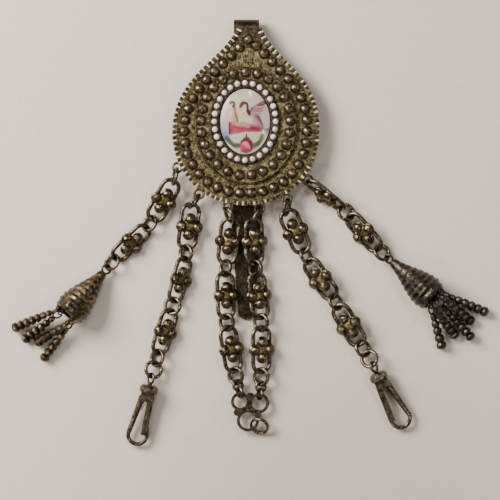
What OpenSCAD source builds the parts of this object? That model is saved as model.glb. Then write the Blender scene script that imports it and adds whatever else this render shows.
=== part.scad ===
// Cut-steel chatelaine of about 1800, laid face up on a table.
// A pear-shaped plaque folds back into a belt hook. Six chains hang from its lower edge:
// two end in tassels, two in swivel clips and the middle pair in a connector with a key ring.
// Origin: on the table, under the middle of the plaque's ovals. +Y is up the plaque.

/* [Plaque] */
// Width across the plate
plaque_w = 49.9; // [49:0.1:51]
// Height from the widest level up to the end of the shoulders
shoulder_h = 33.2; // [32:0.1:34]
// Height from the widest level down to the lower edge
belly_h = 25.4; // [25:0.1:26]
// Thickness of the plate under its rim
plate_t = 1.0; // [0.8:0.1:1.2]
// Height of the milled rim above the plate
rim_h = 0.35; // [0.2:0.05:0.5]
// Width of the milled rim
rim_w = 1.7; // [1.4:0.1:2]
// Teeth milled around the rim
rim_teeth = 87; // [70:1:92]
// Depth of a tooth of the rim
tooth_depth = 1.15; // [0.6:0.05:1.3]

/* [Belt hook] */
// Thickness of the hook's strip
strip_t = 1.0; // [0.8:0.1:1.2]
// Space between the strip and the plate, where the belt goes
belt_gap = 4.4; // [4.3:0.1:5]
// Width of the fold at the top
fold_w = 8.6; // [8:0.1:9]
// Width of the strip at its widest
strip_w = 11.6; // [11:0.1:12]
// Width of the strip at its rounded tip
strip_tip_w = 5.6; // [5:0.1:6]
// Distance from the origin down to the tip
strip_reach = 67; // [66:0.5:68]

/* [Centre] */
// Height of the raised oval
stage_h = 0.9; // [0.7:0.1:1]
// Diameter of a white bead
bead_d = 2; // [1.9:0.05:2.2]
// Number of white beads
bead_count = 28; // [24:1:29]
// Radius of the enamel's dome
dome_r = 45; // [40:1:60]

/* [Studs] */
// Width of a faceted stud
stud_d = 3.2; // [3:0.05:3.3]
// Height of a faceted stud
stud_h = 1.5; // [1.2:0.1:1.6]
// Studs in the outer row
outer_stud_count = 37; // [30:1:38]
// Studs in the inner row
inner_stud_count = 25; // [20:1:26]

/* [Chains] */
// Length of a rosette link between its wire's centres
rosette_l = 15.5; // [15.4:0.05:15.6]
// Width of a rosette link between its wire's centres
rosette_w = 5.9; // [5.8:0.05:6]
// Wire of a rosette link
rosette_wire = 1.2; // [1.1:0.05:1.2]
// Diameter of a plain link between its wire's centres
plain_l = 5.4; // [5.35:0.05:5.45]
// Wire of a plain link
plain_wire = 1.0; // [0.9:0.05:1]
// Diameter of a small link between its wire's centres
small_l = 3.4; // [3.35:0.05:3.45]
// Wire of a small link
small_wire = 0.8; // [0.7:0.05:0.8]

/* [Clips and tassels] */
// Width across a clip's faceted collar
collar_d = 6.4; // [6:0.1:6.6]
// How far the left clip's gate stands open
left_gate_open = 4; // [2:1:6]
// Length of a tassel's cap
cap_l = 18.8; // [18.4:0.1:19]
// Width of a tassel's cap where it is widest
cap_d = 12.1; // [11.6:0.1:12.2]
// Width of a drop's end bead
drop_d = 3.5; // [3.3:0.05:3.5]

/* [Hidden] */
$fn = 72;

steel = "#4b453b";
bright_steel = "#8d877a";
gilt = "#7c6d45";

// Levels above the table
plate_z = strip_t + belt_gap;
plate_top = plate_z + plate_t;
seat_gap = 0.05;
stage_z = plate_top + seat_gap;
stage_top = stage_z + stage_h;

// The plaque's widest level lies below the enamel's centre
belly_y = -2.7;
neck_w = 10;
neck_top_w = 8.6;
fold_r = plate_top / 2;
neck_l = 4.7;
fold_y = belly_y + shoulder_h + neck_l - fold_r;
shoulder_pull = 18.3;
neck_pull = [9.8, 23.8];
// The milling stops this far below the fold
plain_neck = 4;
belly_power = 2.1;
// The plate lies a little left of the ovals, and its upper part leans to the right
plate_x = -0.25;
lean = 1.2;

// Half-axes of the ovals about the origin
stage_axes = [17.4, 19.8];
stage_at = [-0.1, -1.0];
inner_stud_axes = [15.2, 17.5];
inner_stud_at = [-0.3, -0.4];
oval_at = [-0.5, 0.3];
bezel_axes = [12.0, 14.7];
bead_axes = [10.4, 13.1];
window_axes = [8.95, 11.6];
enamel_axes = [8.4, 11.05];
bezel_t = 0.4;

// Eyes around the lower edge, as angles about the belly's centre
eye_r = 1.55;
eye_wire = 0.9;
eye_out = 1.2;
eye_z = plate_z + plate_t / 2;
eye_angles = [207, 233, 257, 279, 300.5, 322];

// Gap between linked wires
link_gap = 0.12;

// How far a cut runs past what it cuts, and how deep soldered parts meet
over = 1;
meet = 0.1;

// Points and paths

function mix(a, b, t) = a + (b - a) * t;

function bezier(p, t) =
    pow(1 - t, 3) * p[0] + 3 * t * pow(1 - t, 2) * p[1] + 3 * t * t * (1 - t) * p[2] + pow(t, 3) * p[3];

// A rounded belly point at an angle about the belly's centre
function belly_point(a) =
    [plaque_w / 2 * sign(cos(a)) * pow(abs(cos(a)), 2 / belly_power),
     belly_y + belly_h * sign(sin(a)) * pow(abs(sin(a)), 2 / belly_power)];

// Right side of the plate, from the middle of the lower edge up to the neck
function right_side() = concat(
    [for (a = [-90:3:-3]) belly_point(a)],
    [for (t = [0:0.05:1])
        bezier([[plaque_w / 2, 0], [plaque_w / 2, shoulder_pull], neck_pull, [neck_w / 2, shoulder_h]], t)
        + [0, belly_y]],
    [[neck_top_w / 2, fold_y]]);

function flipped(p) = [for (i = [len(p) - 1:-1:0]) [-p[i].x, p[i].y]];

function leant(p) = [p.x + plate_x + lean * max(0, (p.y - belly_y) / shoulder_h), p.y];

function plaque_path() =
    let (left_side = [for (p = flipped(right_side())) if (p.y > belly_y - belly_h) p])
    [for (p = concat(right_side(), left_side)) leant(p)];

function oval_path(axes, count = 96) =
    [for (i = [0:count - 1]) let (a = 360 * i / count) [axes.x * cos(a), axes.y * sin(a)]];

// Running length at each point of a closed path, with the whole length last
function run_length(p) = [
    for (i = 0, s = 0; i <= len(p); s = s + norm(p[(i + 1) % len(p)] - p[i % len(p)]), i = i + 1) s];

function point_at(p, run, s) =
    let (k = max([for (i = [0:len(p) - 1]) if (run[i] <= s) i]))
    mix(p[k], p[(k + 1) % len(p)], (s - run[k]) / (run[k + 1] - run[k]));

// A closed path as evenly spaced points
function spaced(p, count, shift = 0) =
    let (run = run_length(p), whole = run[len(p)])
    [for (i = [0:count - 1]) point_at(p, run, whole * ((i + shift) % count) / count)];

// Outward normal of a closed anticlockwise path
function outward(p, i) =
    let (d = p[(i + 1) % len(p)] - p[(i + len(p) - 1) % len(p)])
    [d.y, -d.x] / norm(d);

// A closed path moved in along its normals
function inset(p, depth) = [for (i = [0:len(p) - 1]) p[i] - depth * outward(p, i)];

// A tooth's four points: share of its pitch, and share of its depth there
tooth_at = [0, 0.32, 0.5, 0.68];
tooth_form = [0, 0, 1, 0];

// A closed path cut into teeth, as far up as the level given
function toothed(p, teeth, depth, top = 1000) =
    let (run = run_length(p), pitch = run[len(p)] / teeth,
         q = [for (i = [0:4 * teeth - 1]) point_at(p, run, pitch * (floor(i / 4) + tooth_at[i % 4]))])
    [for (i = [0:len(q) - 1])
        q[i] - (q[i].y < top ? depth * tooth_form[i % 4] : 0) * outward(q, i)];

// Directions in the chain: heading from +X, pitch down towards the table

function direction(heading, pitch) =
    [cos(pitch) * cos(heading), cos(pitch) * sin(heading), -sin(pitch)];

module placed(start, heading, pitch, roll) {
    translate(start) rotate([0, pitch, heading]) rotate([roll, 0, 0]) children();
}

// Chains as tables of links

KIND = 0;
HEADING = 1;
PITCH = 2;
ROLL = 3;

outer_left_links = [
    ["plain", 253.5, 16, 78],
    ["rosette", 241, 9.5, -17],
    ["plain", 234, 0, 45.5],
    ["rosette", 223.5, 0, -34.5],
    ["plain", 232.5, 0, 45],
    ["cap_eye", 229.6, -13, -21]
];
left_links = [
    ["plain", 236.5, 29, 101.5],
    ["rosette", 263, 4.5, -14],
    ["plain", 265, 2, 42.5],
    ["rosette", 255, 0, -40.5],
    ["plain", 252, 0, 21.5],
    ["rosette", 253.5, 0, -33.5],
    ["plain", 256, 0, 44],
    ["plain", 249.5, -18, -12],
    ["swivel_eye", 259.5, 5, 51.5]
];
centre_left_links = [
    ["plain", 281.5, 34, 64.5],
    ["rosette", 264, 2, 3],
    ["plain", 262.5, 0, 55],
    ["rosette", 272, 0, -26.5],
    ["plain", 275.5, 0, 35.5],
    ["rosette", 279.5, 3, -26],
    ["plain", 282.5, 0, 33.5],
    ["small", 285.5, 0, -28.5],
    ["small", 284, 0, 60.5]
];
centre_right_links = [
    ["plain", 244, 30, 95],
    ["rosette", 271.5, 2, -21.5],
    ["plain", 277, 0, 41],
    ["rosette", 276.5, 0, -23.5],
    ["plain", 272.5, 0, 37.5],
    ["rosette", 270, 3, -21.5],
    ["plain", 268.5, 0, 32.5],
    ["small", 265.5, 0, -29.5],
    ["small", 260, 0, 65.5]
];
right_links = [
    ["plain", 270.5, 34.5, 111.5],
    ["rosette", 293.5, 4, -3],
    ["plain", 296, 0, -54.5],
    ["rosette", 304.5, 0, 26],
    ["plain", 297, 0, -47],
    ["rosette", 301, 0, 19.5],
    ["plain", 300, 0, -38],
    ["plain", 303.5, -18, 15],
    ["swivel_eye", 294.4, 5, -48.5]
];
outer_right_links = [
    ["rosette", 321, 13, 65.5],
    ["plain", 314.5, 2.5, -26],
    ["rosette", 311, 0, 34],
    ["plain", 315.5, 0, -36.5],
    ["cap_eye", 318.6, -13, 38]
];

// Wire and centre-line length of each kind of link
function link_wire(kind) =
    kind == "rosette" ? rosette_wire
    : kind == "plain" ? plain_wire
    : kind == "small" ? small_wire
    : kind == "cap_eye" ? cap_eye_wire
    : swivel_wire;
function link_length(kind) =
    kind == "rosette" ? rosette_l
    : kind == "plain" ? plain_l
    : kind == "small" ? small_l
    : kind == "cap_eye" ? 2 * cap_eye_r
    : 2 * swivel_r;
cap_eye_r = 1.5;
cap_eye_wire = 0.8;
swivel_r = 1.65;
swivel_wire = 0.9;

function eye_centre(k) =
    let (q = belly_point(eye_angles[k]), away = [cos(eye_angles[k]), sin(eye_angles[k])])
    [q.x + eye_out * away.x, q.y + eye_out * away.y, eye_z];

// The first link hangs from its eye where it pulls
function first_start(k, links) =
    let (overlap = (eye_wire + link_wire(links[0][KIND])) / 2 + link_gap)
    eye_centre(k) + eye_r * direction(links[0][HEADING], 0)
    - overlap * direction(links[0][HEADING], links[0][PITCH]);

function link_end(link, start) = start + link_length(link[KIND]) * direction(link[HEADING], link[PITCH]);

// Where the wire of the next link crosses inside the end of this one
function next_start(link, next, start) =
    let (turn = direction(link[HEADING], link[PITCH]) + direction(next[HEADING], next[PITCH]),
         overlap = (link_wire(link[KIND]) + link_wire(next[KIND])) / 2 + link_gap)
    link_end(link, start) - overlap * turn / norm(turn);

function chain_starts(links, first) = [
    for (i = 0, p = first; i < len(links);
        p = i + 1 < len(links) ? next_start(links[i], links[i + 1], p) : p, i = i + 1) p];

function last(list) = list[len(list) - 1];

outer_left_starts = chain_starts(outer_left_links, first_start(0, outer_left_links));
left_starts = chain_starts(left_links, first_start(1, left_links));
centre_left_starts = chain_starts(centre_left_links, first_start(2, centre_left_links));
centre_right_starts = chain_starts(centre_right_links, first_start(3, centre_right_links));
right_starts = chain_starts(right_links, first_start(4, right_links));
outer_right_starts = chain_starts(outer_right_links, first_start(5, outer_right_links));

// Studs with a table, eight upper and sixteen lower facets

module cut_stud(d, h) {
    sides = 8;
    levels = [[0, 0.5, 0], [0.5, 0.43, 0.5], [1, 0.22, 0]];
    points = [for (level = levels) for (i = [0:sides - 1])
        let (a = 360 * (i + level[2]) / sides)
        [d * level[1] * cos(a), d * level[1] * sin(a), h * level[0]]];
    low_band = [for (i = [0:sides - 1]) let (j = (i + 1) % sides)
        each [[i, i + sides, j], [j, i + sides, j + sides]]];
    high_band = [for (i = [0:sides - 1]) let (j = (i + 1) % sides)
        each [[i + sides, j + 2 * sides, j + sides], [i + sides, i + 2 * sides, j + 2 * sides]]];
    table = [for (i = [sides - 1:-1:0]) i + 2 * sides];
    base = [for (i = [0:sides - 1]) i];
    polyhedron(points, concat(low_band, high_band, [table], [base]));
}

// Links, each drawn along +X from the end that the last one holds

module round_ring(r, wire) {
    translate([r, 0, 0]) rotate_extrude() translate([r, 0]) circle(d = wire, $fn = 24);
}

module oval_ring(length, width, wire) {
    r = width / 2;
    for (end = [[r, 90], [length - r, -90]])
        translate([end[0], 0, 0]) rotate([0, 0, end[1]])
            rotate_extrude(angle = 180) translate([r, 0]) circle(d = wire, $fn = 24);
    for (side = [-1, 1])
        translate([r, side * r, 0]) rotate([0, 90, 0]) cylinder(h = length - width, d = wire, $fn = 24);
}

petal_r = 1.9;
petal_out = 2.65;
petal_t = 0.55;
petal_z = rosette_wire / 2 - 0.25;
sunk = 0.02;

module rosette_link() {
    oval_ring(rosette_l, rosette_w, rosette_wire);
    translate([rosette_l / 2, 0, petal_z]) {
        linear_extrude(petal_t) {
            circle(r = petal_out);
            for (a = [0:90:270]) rotate(a) translate([petal_out, 0]) circle(r = petal_r);
        }
        for (a = [0:90:270])
            rotate(a) translate([petal_out, 0, petal_t - sunk]) cut_stud(stud_d, stud_h);
    }
}

module link(kind) {
    if (kind == "rosette") rosette_link();
    if (kind == "plain") round_ring(plain_l / 2, plain_wire);
    if (kind == "small") round_ring(small_l / 2, small_wire);
}

// Draws the links of a chain; the eye that ends it belongs to the next piece
module chain(links, starts) {
    color(bright_steel)
        for (i = [0:len(links) - 1])
            placed(starts[i], links[i][HEADING], links[i][PITCH], links[i][ROLL]) link(links[i][KIND]);
}

// Plaque

// The strip's sides open out to its widest level and close in again to its rounded tip
module strip_outline() {
    wide_y = -26;
    tip_r = strip_tip_w / 2;
    hull() {
        translate([0, -strip_reach + tip_r]) circle(r = tip_r);
        translate([-strip_w / 2, wide_y]) square([strip_w, 1]);
    }
    polygon([[-fold_w / 2, fold_y], [-strip_w / 2, wide_y + 1], [-strip_w / 2, wide_y],
             [strip_w / 2, wide_y], [strip_w / 2, wide_y + 1], [fold_w / 2, fold_y]]);
}

module fold() {
    translate([-fold_w / 2, fold_y, fold_r]) rotate([90, 0, 90]) linear_extrude(fold_w)
        difference() {
            circle(r = fold_r);
            circle(r = fold_r - strip_t);
            translate([-2 * fold_r, -2 * fold_r]) square([2 * fold_r, 4 * fold_r]);
        }
}

module plaque() {
    color(gilt) {
        difference() {
            translate([0, 0, plate_z]) linear_extrude(plate_t + rim_h)
                polygon(toothed(plaque_path(), rim_teeth, tooth_depth, fold_y - plain_neck));
            translate([0, 0, plate_top]) linear_extrude(over)
                polygon(inset(spaced(plaque_path(), 120), rim_w));
            translate([-neck_w, fold_y - plain_neck, plate_top])
                cube([2 * neck_w, 2 * plain_neck, over]);
        }
        fold();
        linear_extrude(strip_t) strip_outline();
        for (k = [0:len(eye_angles) - 1])
            translate(eye_centre(k)) rotate_extrude() translate([eye_r, 0]) circle(d = eye_wire, $fn = 24);
    }
}

module raised_oval() {
    teeth = 60;
    depth = 0.35;
    color(gilt) translate([stage_at.x, stage_at.y, stage_z]) linear_extrude(stage_h)
        polygon(toothed(oval_path(stage_axes), teeth, depth));
}

// Two teeth of the bezel to a bead, outside and inside
module bezel() {
    outer_depth = 0.7;
    inner_depth = 0.3;
    color(gilt) translate([oval_at.x, oval_at.y, stage_top + seat_gap]) linear_extrude(bezel_t)
        difference() {
            polygon(toothed(oval_path(bezel_axes), 2 * bead_count, outer_depth));
            polygon(toothed(oval_path(window_axes), 2 * bead_count, inner_depth));
        }
}

module enamel() {
    dome_top = 2.1;
    edge_drop = 0.2;
    block = 40;
    color("#e2d5d2") translate([oval_at.x, oval_at.y, stage_top + seat_gap]) difference() {
        linear_extrude(dome_top - edge_drop) polygon(oval_path(enamel_axes, 60));
        difference() {
            translate([-block / 2, -block / 2, 0]) cube([block, block, dome_top + over]);
            translate([0, 0, dome_top - dome_r]) sphere(r = dome_r, $fn = 400);
        }
    }
}

module white_beads() {
    bead_z = stage_top + 2 * seat_gap + bezel_t + bead_d / 2;
    color("#f3eee2")
        for (p = spaced(oval_path(bead_axes), bead_count))
            translate([p.x + oval_at.x, p.y + oval_at.y, bead_z]) sphere(d = bead_d);
}

// The row follows the edge, further in below than above, and closes in a point at the neck
module outer_studs() {
    row_in = [4.1, 3.85];
    top_y = 21.5;
    apex = [1.0, 28.5];
    // The path starts at the middle of the lower edge
    split_x = plate_x - 0.1;
    q = spaced(plaque_path(), 180);
    path = [for (i = [0:len(q) - 1])
        q[i] - mix(row_in[0], row_in[1], min(1, max(0, q[i].y / top_y))) * outward(q, i)];
    row = concat(
        [for (p = path) if (p.y < top_y && p.x > split_x) p],
        [apex],
        [for (p = path) if (p.y < top_y && p.x <= split_x) p]);
    color(steel)
        for (p = spaced(row, outer_stud_count, 0.5))
            translate([p.x, p.y, plate_top + seat_gap]) cut_stud(stud_d, stud_h);
}

module inner_studs() {
    color(steel)
        for (p = spaced(oval_path(inner_stud_axes), inner_stud_count, 0.25))
            translate([p.x + inner_stud_at.x, p.y + inner_stud_at.y, stage_top + seat_gap])
                cut_stud(stud_d, stud_h);
}

// Tassels

cap_ribs = 9;
cap_sides = 16;
// Share of a cap's length, and its radius there as a share of the widest
cap_shape = [[0, 0.25], [0.15, 0.37], [0.3, 0.53], [0.5, 0.77], [0.7, 0.95], [0.85, 1], [1, 0.86]];
// Radius of a cap's ribs and of the grooves between them, as a share of the shape
rib_swell = 1;
rib_groove = 0.92;
drop_ring_r = 1.55;
drop_wire = 0.6;
drop_slack = 0.05;
drop_eye_r = 1.15;
drop_eye_wire = 0.55;
drop_eye_out = 3.3;
mouth_depth = 0.7;
mouth_wall = 0.6;
cap_from = 0.2;
drop_eye_x = cap_from + cap_l - mouth_depth + drop_eye_r - 0.15;
drop_turn = 90;

// Position around the mouth, heading and length of each drop
AROUND = 0;
REACH = 2;
drop_rest = 0.35;
// Share of a drop's rod, and its radius there as a share of the end bead's
rod_shape = [[0, 0.62], [0.3, 0.85], [0.6, 0.94], [1, 1]];
// Length of each bead
drop_bead_l = 2.35;
left_drops = [
    [172, 203.2, 18.8],
    [226, 217.2, 16.8],
    [32, 211.8, 17.5],
    [-35, 232.4, 17.4]
];
right_drops = [
    [218, 286.5, 16.0],
    [130, 308.4, 17.6],
    [-85, 312.7, 18.6],
    [48, 320.1, 18.2],
    [-25, 336.5, 18.2]
];

function cap_start(links, starts) = link_end(last(links), last(starts));
left_cap_at = cap_start(outer_left_links, outer_left_starts);
right_cap_at = cap_start(outer_right_links, outer_right_starts);

// Radius of the cap at a row: even rows are grooves and odd rows are the ribs between them
function cap_row_r(row) =
    cap_d / 2 * lookup(row / (2 * cap_ribs), cap_shape) * (row % 2 == 0 ? rib_groove : rib_swell);

// An ogee of small facets: the points of each row stand between those of the next
module faceted_ogee() {
    rows = 2 * cap_ribs;
    points = concat(
        [for (row = [0:rows]) for (i = [0:cap_sides - 1])
            let (a = 360 * (i + (row % 2) / 2) / cap_sides, r = cap_row_r(row))
            [cap_l * row / rows, r * cos(a), r * sin(a)]],
        [[0, 0, 0], [cap_l, 0, 0]]);
    tip = len(points) - 2;
    mouth = len(points) - 1;
    last_row = rows * cap_sides;
    sides = [for (row = [0:rows - 1]) for (i = [0:cap_sides - 1])
        let (j = (i + 1) % cap_sides, a = row * cap_sides, b = a + cap_sides)
        each (row % 2 == 0
            ? [[a + i, b + i, a + j], [a + j, b + i, b + j]]
            : [[a + i, b + j, a + j], [a + i, b + i, b + j]])];
    tip_faces = [for (i = [0:cap_sides - 1]) [tip, i, (i + 1) % cap_sides]];
    mouth_faces = [for (i = [0:cap_sides - 1]) [mouth, last_row + (i + 1) % cap_sides, last_row + i]];
    polyhedron(points, concat(sides, tip_faces, mouth_faces));
}

module tassel_cap(link, at, drops) {
    color(steel) placed(at, link[HEADING], link[PITCH], 0) {
        difference() {
            translate([cap_from, 0, 0]) faceted_ogee();
            translate([cap_from + cap_l - mouth_depth, 0, 0]) rotate([0, 90, 0])
                cylinder(h = 2 * mouth_depth, r = cap_row_r(2 * cap_ribs) - mouth_wall);
        }
        rotate([link[ROLL], 0, 0]) translate([-2 * cap_eye_r, 0, 0]) round_ring(cap_eye_r, cap_eye_wire);
        for (drop = drops)
            rotate([drop[AROUND], 0, 0])
                translate([drop_eye_x, drop_eye_out, 0])
                    rotate_extrude() translate([drop_eye_r, 0]) circle(d = drop_eye_wire, $fn = 24);
    }
}

// A rod of turned beads that grow towards its end, faceted ten times around
module drop(reach) {
    rod_from = 2 * drop_ring_r;
    beads = round((reach - rod_from) / drop_bead_l);
    bead_l = (reach - rod_from) / beads;
    profile = concat(
        [[0, rod_from]],
        [for (i = [0:beads - 1])
            let (r = drop_d / 2 * lookup(i / (beads - 1), rod_shape), x = rod_from + i * bead_l)
            each [[0.6 * r, x], [r, x + 0.3 * bead_l], [r, x + 0.7 * bead_l]]],
        [[0.6 * drop_d / 2, reach], [0, reach]]);
    rotate([0, 90, 0]) rotate([0, 0, 18]) rotate_extrude($fn = 10) polygon(profile);
    round_ring(drop_ring_r, drop_wire);
}

// Centre of a drop's eye at the mouth of its cap
function drop_eye(link, cap_at, drop) =
    let (h = link[HEADING], p = link[PITCH],
         ahead = direction(h, p), side = [-sin(h), cos(h), 0], up = cross(ahead, side))
    cap_at + drop_eye_x * ahead + drop_eye_out * (cos(drop[AROUND]) * side + sin(drop[AROUND]) * up);

module hung_drop(link, cap_at, drop) {
    from = drop_eye(link, cap_at, drop);
    fall = from.z - drop_d / 2 - drop_rest;
    pitch = asin(fall / (drop[REACH] - drop_d / 2));
    color(steel)
        placed(from + drop_slack * direction(drop[HEADING], pitch), drop[HEADING], pitch,
            drop[AROUND] + drop_turn)
            drop(drop[REACH]);
}

// Connector and key ring

connector_z = 2.5;
connector_t = 1.0;
hole_centres = [[-2.1, -94.8], [4.3, -95.3], [0.5, -101.2]];
hole_r = [2.15, 2.4, 2.75];
wall = 1.05;
// Centre and radius of the lobes between the holes
webs = [[-3.1, -98.4, 1.3], [3.6, -99.1, 1.3], [1.3, -92.9, 1.2], [0.9, -97.0, 1.7]];

module connector() {
    color(gilt) translate([0, 0, connector_z - connector_t / 2]) linear_extrude(connector_t)
        difference() {
            union() {
                for (i = [0:2]) translate(hole_centres[i]) circle(r = hole_r[i] + wall);
                for (web = webs) translate([web[0], web[1]]) circle(r = web[2]);
            }
            for (i = [0:2]) translate(hole_centres[i]) circle(r = hole_r[i]);
        }
}

key_ring_r = 2.95;
key_ring_wire = 0.75;
key_ring_heading = -26;
key_ring_roll = 38;
key_ring_in = 0.6;
// The two turns of the ring are pressed together
turn_step = 0.9 * key_ring_wire;

module key_ring() {
    away = [cos(key_ring_heading), sin(key_ring_heading)];
    from = hole_centres[2] + (hole_r[2] - key_ring_wire - key_ring_in) * away;
    color(steel) placed([from.x, from.y, connector_z], key_ring_heading, 0, key_ring_roll)
        for (turn = [-0.5, 0.5])
            translate([0, 0, turn_step * turn]) round_ring(key_ring_r, key_ring_wire);
}

// Clips, each drawn along +X from the top of its collar, with its arm on the -Y side

collar_l = 3.1;
bore_d = 1.8;
shank_d = 1.4;
head_d = 2.4;
pocket_d = 3.0;
pocket = [1.4, 2.9];
collar_from = swivel_wire / 2 + 0.15;
hook_bend_r = 3.2;
hook_wire = 1.4;
hook_x = 17.6;
hook_y = -1.0;
arm_from = [4.2, -1.7];
gate_pin = [4.6, 1.3];
gate_pin_d = 0.8;
gate_hole_d = 1.1;
gate_w = 2.1;
gate_t = 2.4;
gate_wall = 0.4;
gate_l = 12.7;
// A shut gate leans out this far, to the hook's point
gate_lean = 3;
slot_t = 2.7;
slot_from = 0.35;
slot_floor = -0.6;
arm_r = [1.15, 0.8];
tip_l = 0.6;
point_l = 2.5;
point_d = 0.5;
cheek_t = 3.7;

module collar() {
    sides = 10;
    edge = 0.8;
    end_d = 0.72 * collar_d;
    rotate([0, 90, 0]) difference() {
        union() {
            cylinder(h = edge, d1 = end_d, d2 = collar_d, $fn = sides);
            translate([0, 0, edge]) cylinder(h = collar_l - 2 * edge, d = collar_d, $fn = sides);
            translate([0, 0, collar_l - edge])
                cylinder(h = edge, d1 = collar_d, d2 = end_d, $fn = sides);
        }
        translate([0, 0, -over]) cylinder(h = pocket[0] + 2 * over, d = bore_d);
        translate([0, 0, pocket[0]]) cylinder(h = pocket[1] - pocket[0], d = pocket_d);
    }
}

module clip() {
    arm_end = [hook_x, hook_y - hook_bend_r];
    arm = arm_end - arm_from;
    color(bright_steel) {
        collar();
        difference() {
            translate([collar_l - meet, 0, -cheek_t / 2]) linear_extrude(cheek_t)
                polygon([[0, -2.3], [0, 2.3], [2.5, 2.0], [2.7, -0.4], [2.9, -2.7]]);
            translate([collar_l + slot_from, slot_floor, -slot_t / 2])
                cube([collar_d, collar_d, slot_t]);
        }
        translate([gate_pin.x, gate_pin.y, -cheek_t / 2]) cylinder(h = cheek_t, d = gate_pin_d);
        translate([arm_from.x, arm_from.y, 0]) rotate([0, 90, atan2(arm.y, arm.x)])
            cylinder(h = norm(arm), r1 = arm_r[0], r2 = arm_r[1]);
        translate([arm_end.x, arm_end.y, 0]) sphere(r = arm_r[1]);
        translate([hook_x, hook_y, 0]) rotate([0, 0, -90])
            rotate_extrude(angle = 180) translate([hook_bend_r, 0]) circle(d = hook_wire, $fn = 24);
        translate([hook_x, hook_y + hook_bend_r, 0]) rotate([0, -90, 0]) {
            cylinder(h = tip_l, d = hook_wire);
            translate([0, 0, tip_l]) cylinder(h = point_l, d1 = hook_wire, d2 = point_d);
        }
    }
}

// The gate is a channel, open on the outer side, and the hook's point lies inside it
module gate() {
    color(bright_steel) translate([gate_pin.x, gate_pin.y, 0]) difference() {
        translate([0, 0, -gate_t / 2]) linear_extrude(gate_t) {
            circle(d = gate_w);
            translate([0, -gate_w / 2]) square([gate_l, gate_w]);
        }
        translate([-gate_w, gate_wall - gate_w / 2, gate_wall - gate_t / 2])
            cube([gate_l + gate_w + over, gate_w, gate_t - 2 * gate_wall]);
        translate([0, 0, -gate_t]) cylinder(h = 2 * gate_t, d = gate_hole_d);
    }
}

// A leaf bent to a V between the arm and the gate
module gate_spring() {
    leaf_w = 1.2;
    color(steel) translate([0, 0, -leaf_w / 2]) linear_extrude(leaf_w)
        polygon([[6.1, -0.87], [8.9, -1.4], [9.1, -1.15], [6.9, -0.3], [6.75, -0.5],
                 [8.3, -1.1], [6.1, -0.67]]);
}

module swivel_ring() {
    color(bright_steel) translate([-2 * swivel_r, 0, 0]) round_ring(swivel_r, swivel_wire);
}

// The shank passes the collar's bore, and its head turns in the collar's pocket
module swivel_shank() {
    head_from = 1.7;
    head_t = 0.9;
    color(bright_steel) rotate([0, 90, 0]) {
        cylinder(h = collar_from + head_from + head_t / 2, d = shank_d);
        translate([0, 0, collar_from + head_from]) cylinder(h = head_t, d = head_d);
    }
}

function clip_at(links, starts) = link_end(last(links), last(starts));
left_clip_at = clip_at(left_links, left_starts);
right_clip_at = clip_at(right_links, right_starts);

module at_clip(links, at, flip) {
    placed(at, last(links)[HEADING], last(links)[PITCH], flip ? 180 : 0)
        translate([collar_from, 0, 0]) children();
}

module at_swivel(links, at) {
    placed(at, last(links)[HEADING], last(links)[PITCH], 0) {
        rotate([last(links)[ROLL], 0, 0]) swivel_ring();
        swivel_shank();
    }
}

module turned_gate(angle) {
    translate([gate_pin.x, gate_pin.y, 0]) rotate([0, 0, gate_lean - angle])
        translate([-gate_pin.x, -gate_pin.y, 0]) gate();
}

module left_clip_part() {
    at_clip(left_links, left_clip_at, false) children();
}

module right_clip_part() {
    at_clip(right_links, right_clip_at, true) children();
}

module left_drop(k) {
    hung_drop(last(outer_left_links), left_cap_at, left_drops[k]);
}

module right_drop(k) {
    hung_drop(last(outer_right_links), right_cap_at, right_drops[k]);
}

plaque();
raised_oval();
bezel();
enamel();
white_beads();
outer_studs();
inner_studs();
chain(outer_left_links, outer_left_starts);  // outer_left_chain
chain(left_links, left_starts);  // left_chain
chain(centre_left_links, centre_left_starts);  // centre_left_chain
chain(centre_right_links, centre_right_starts);  // centre_right_chain
chain(right_links, right_starts);  // right_chain
chain(outer_right_links, outer_right_starts);  // outer_right_chain
tassel_cap(last(outer_left_links), left_cap_at, left_drops);  // left_tassel_cap
left_drop(0);  // left_drop_1
left_drop(1);  // left_drop_2
left_drop(2);  // left_drop_3
left_drop(3);  // left_drop_4
tassel_cap(last(outer_right_links), right_cap_at, right_drops);  // right_tassel_cap
right_drop(0);  // right_drop_1
right_drop(1);  // right_drop_2
right_drop(2);  // right_drop_3
right_drop(3);  // right_drop_4
right_drop(4);  // right_drop_5
connector();
key_ring();
at_swivel(left_links, left_clip_at);  // left_swivel_eye
left_clip_part() clip();  // left_clip
left_clip_part() turned_gate(left_gate_open);  // left_gate
left_clip_part() gate_spring();  // left_gate_spring
at_swivel(right_links, right_clip_at);  // right_swivel_eye
right_clip_part() clip();  // right_clip
right_clip_part() turned_gate(0);  // right_gate
right_clip_part() gate_spring();  // right_gate_spring
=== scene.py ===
import math
import random

import bmesh
import bpy
import numpy
from mathutils import Matrix, Vector


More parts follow.
